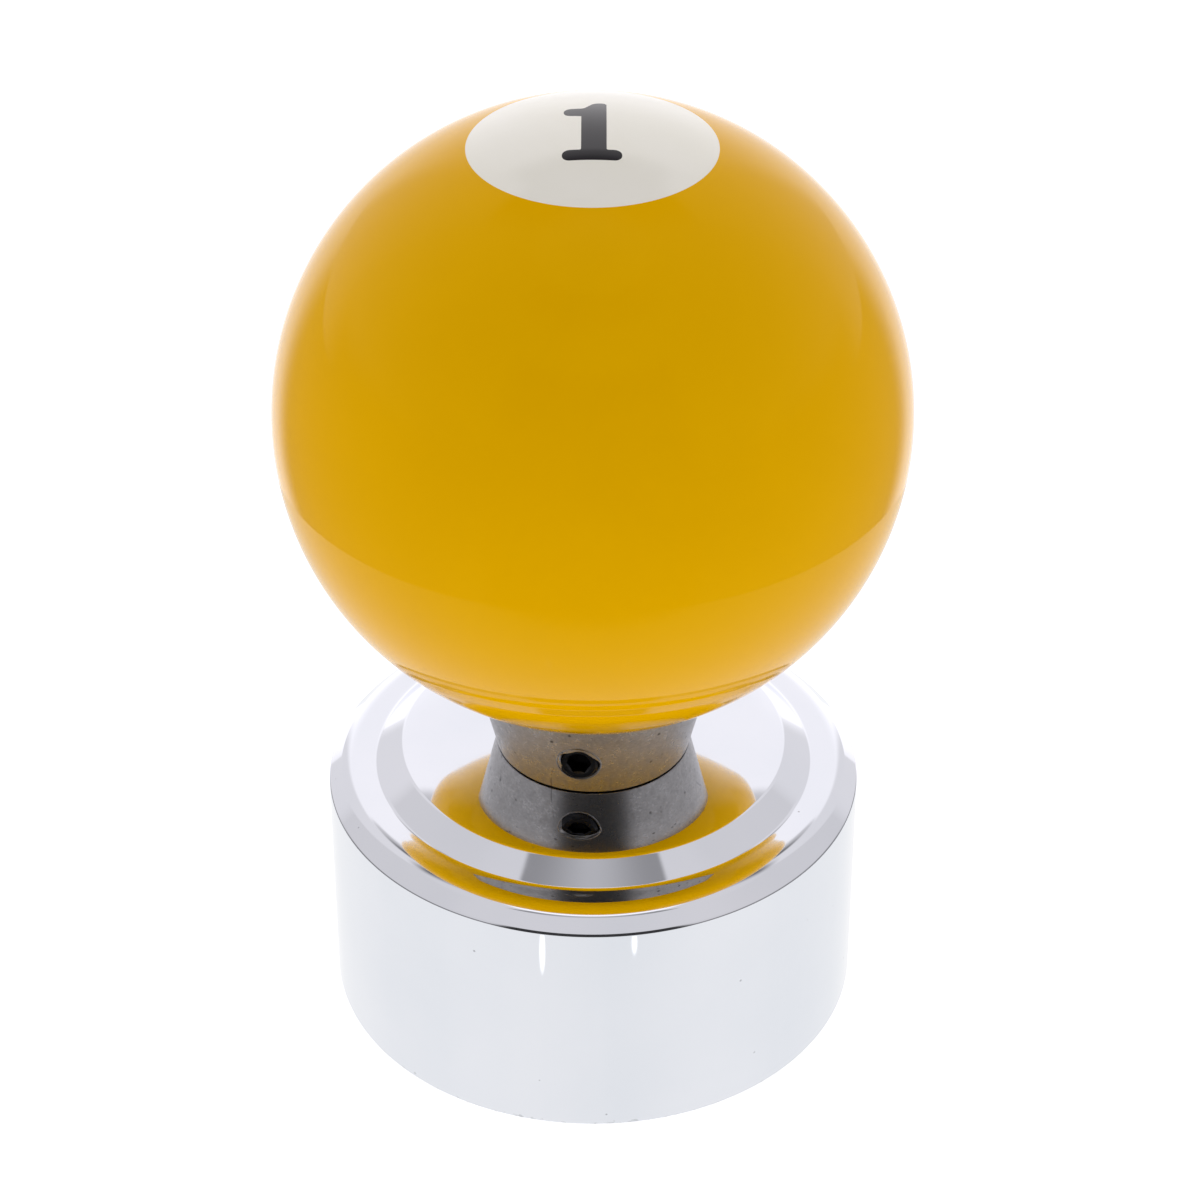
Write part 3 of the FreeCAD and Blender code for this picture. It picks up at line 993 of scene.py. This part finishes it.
CAMERA_AT = Vector((0.000639, -0.267812, 0.226476))
CAMERA_AIM = Vector((0.000639, 0, 0.042352))
CAMERA_LENS = 105.6
CAMERA_SENSOR = 36

# The floor is a hair below the rim, so that the two never share a plane.
FLOOR_Z = -0.00003
FLOOR_R = 4.0

# The mirrored table top glows with painted light: dark at its front edge and bright from a little
# behind it.
TABLE_R = 0.095
TABLE_LIT_Y = -0.07
TABLE_PAINTED_GLOW = (0.06, 0.96)

# Painted lamp glints, small glowing spots on it: x, y, heading in radians and half length. W is half
# a width.
PAINTED_LAMP_GLINTS = ((-0.0140, -0.0480, -0.37, 0.0034), (0.0118, -0.0500, 0.31, 0.0018))
PAINTED_GLINT_W = 0.0008
PAINTED_GLINT_GLOW = 0.6

# How bright the tent is through its opening, and where the camera looks at it.
OPENING_GLOW = 0.045
BACKDROP_GLOW = 1.1

# The lights' names, places and powers in watts.
FILL_SIZE = 0.9
FILLS = (("front_fill", (0, -1.0, 0.75), 2.0),
         ("left_fill", (-0.65, 0.45, 0.72), 1.3),
         ("right_fill", (0.65, 0.45, 0.72), 1.3))


def make_camera():
    """A long lens, looking down at the front."""
    data = bpy.data.cameras.new("camera")
    data.lens = CAMERA_LENS
    data.sensor_width = CAMERA_SENSOR
    data.clip_start = 0.01
    camera = bpy.data.objects.new("camera", data)
    camera.location = CAMERA_AT
    camera.rotation_euler = (CAMERA_AIM - CAMERA_AT).to_track_quat("-Z", "Y").to_euler()
    bpy.context.scene.collection.objects.link(camera)
    bpy.context.scene.camera = camera


def make_floor():
    """A pale floor for the camera, and one that the metal mirrors, which glows with painted light
    and ends in front.
    """
    for name, radius, seen in (("floor", FLOOR_R, True), ("mirrored_floor", TABLE_R, False)):
        skin = Skin()
        skin.fan(ring(radius, FLOOR_Z, turns(COARSE)), (0, 0, FLOOR_Z), (0, 0, 1))
        floor = skin.piece(name)
        floor.data.attributes.remove(floor.data.attributes["flow"])
        floor.data.materials.append(floor_material("studio_" + name, seen))
        floor.visible_glossy = not seen
        floor.visible_camera = seen
        floor.visible_diffuse = seen
        floor.visible_shadow = seen


def make_fills():
    """Broad soft lights above the camera and at both sides, which leave no highlight."""
    for name, place, power in FILLS:
        data = bpy.data.lights.new(name, "AREA")
        data.shape = "SQUARE"
        data.size = FILL_SIZE
        data.energy = power
        fill = bpy.data.objects.new(name, data)
        fill.location = place
        aim = CAMERA_AIM - fill.location
        fill.rotation_euler = aim.to_track_quat("-Z", "Y").to_euler()
        fill.visible_glossy = False
        bpy.context.scene.collection.objects.link(fill)


def make_world():
    """A white tent, dimmer above and open on the camera's side.

    It is the same on the left and the right. Heights and azimuths are in degrees:
    height 0 is level, azimuth 0 is the camera's side and 180 is the back.
    """
    world = bpy.data.worlds.new("studio")
    bpy.context.scene.world = world
    world.use_nodes = True
    nodes = Nodes(world.node_tree)
    source = nodes.new("ShaderNodeTexCoord")
    split = nodes.new("ShaderNodeSeparateXYZ")
    nodes.link(source.outputs["Generated"], split.inputs[0])
    x, y, z = split.outputs
    height = nodes.math("ARCSINE", z)
    azimuth = nodes.math("ARCTAN2", nodes.math("ABSOLUTE", x), nodes.math("MULTIPLY", y, -1.0))
    degree = math.pi / 180

    def step(value, low, high, a, b):
        """From a below a low angle to b above a high one."""
        return nodes.spread(value, low * degree, high * degree, a, b, smooth=True)

    def mix(share, a, b):
        """From a number to another one."""
        node = nodes.new("ShaderNodeMix", data_type="FLOAT")
        nodes.feed(node, 0, share)
        nodes.feed(node, 2, a)
        nodes.feed(node, 3, b)
        return node.outputs[0]

    # The walls: a bright panel at the back, dimmer sides and a dark opening in front.
    panel = step(azimuth, 147, 156, 0.0, 1.0)
    side = nodes.math(
        "MAXIMUM", step(height, 4, 14, 0.3, 0.76), step(azimuth, 105, 127, 0.3, 0.88))
    wall = mix(panel, side, step(height, 5, 35, 1.36, 1.12))
    opening = step(azimuth, 32, 42, 1.0, 0.0)
    low = mix(opening, wall, OPENING_GLOW)
    # The roof: brightest overhead, with a dim hatch in front of that and a dim back.
    hatch = nodes.math("MULTIPLY", step(height, 60, 62, 0.0, 1.0), step(height, 71, 72.5, 1.0, 0.0))
    hatch = nodes.math("MULTIPLY", hatch, step(azimuth, 52, 56, 1.0, 0.0))
    top = mix(hatch, step(height, 71.5, 74, 0.79, 1.25), step(azimuth, 0, 50, 0.56, 0.34))
    back_top = nodes.math("ADD", step(height, 44, 50, 0.7, 0.15), step(height, 68, 82, 0.0, 1.1))
    top = mix(step(azimuth, 112, 140, 0.0, 1.0), top, back_top)
    # The walls end higher at the sides than in front and at the back.
    rise = mix(step(azimuth, 50, 90, 0.0, 1.0), step(height, 42, 47, 0.0, 1.0),
               step(height, 52, 58, 0.0, 1.0))
    rise = mix(panel, rise, step(height, 42, 44.5, 0.0, 1.0))
    glow = mix(rise, low, top)
    # Below the level, past the table: bright at the back and dark in front.
    under = mix(opening, step(azimuth, 130, 148, 0.3, 1.3), OPENING_GLOW)
    glow = mix(step(height, -1.5, -0.5, 0.0, 1.0), under, glow)
    seen = nodes.new("ShaderNodeLightPath").outputs["Is Camera Ray"]
    glow = mix(seen, glow, BACKDROP_GLOW)
    background = nodes.new("ShaderNodeBackground")
    background.inputs["Color"].default_value = (1.0, 0.975, 1.0, 1)
    output = nodes.new("ShaderNodeOutputWorld")
    nodes.link(glow, background.inputs["Strength"])
    nodes.link(background.outputs[0], output.inputs["Surface"])


# ---- everything in its place ----

def dress(piece, body, slot, materials):
    """Give a piece its material, body and slot."""
    piece.data.materials.clear()
    piece.data.materials.append(materials[slot])
    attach(piece, body)


materials = make_materials()
disc, figure = make_number()
for cap_piece in make_cap():
    dress(cap_piece, "adapter", "polished_cap", materials)
dress(make_stud(), "adapter", "plated_steel", materials)
dress(make_nut(), "adapter", "plated_steel", materials)
dress(make_flat_washer(), "adapter", "plated_steel", materials)
dress(make_lock_washer(), "adapter", "spring_steel", materials)
dress(make_insert(), "knob", "collar_metal", materials)
dress(make_hole_lip(), "knob", "collar_metal", materials)
dress(make_screw(), "lock_screw", "black_oxide", materials)
dress(make_screw_tip(), "lock_screw_lead", "tip_brass", materials)
dress(make_ball(), "knob", "ball_resin", materials)
dress(disc, "knob", "disc_resin", materials)
dress(figure, "knob", "numeral_resin", materials)
dress(make_lower_ring(), "knob_lead", "disc_resin", materials)

make_floor()
make_world()
make_fills()
make_camera()
bpy.context.scene.view_settings.view_transform = "Standard"
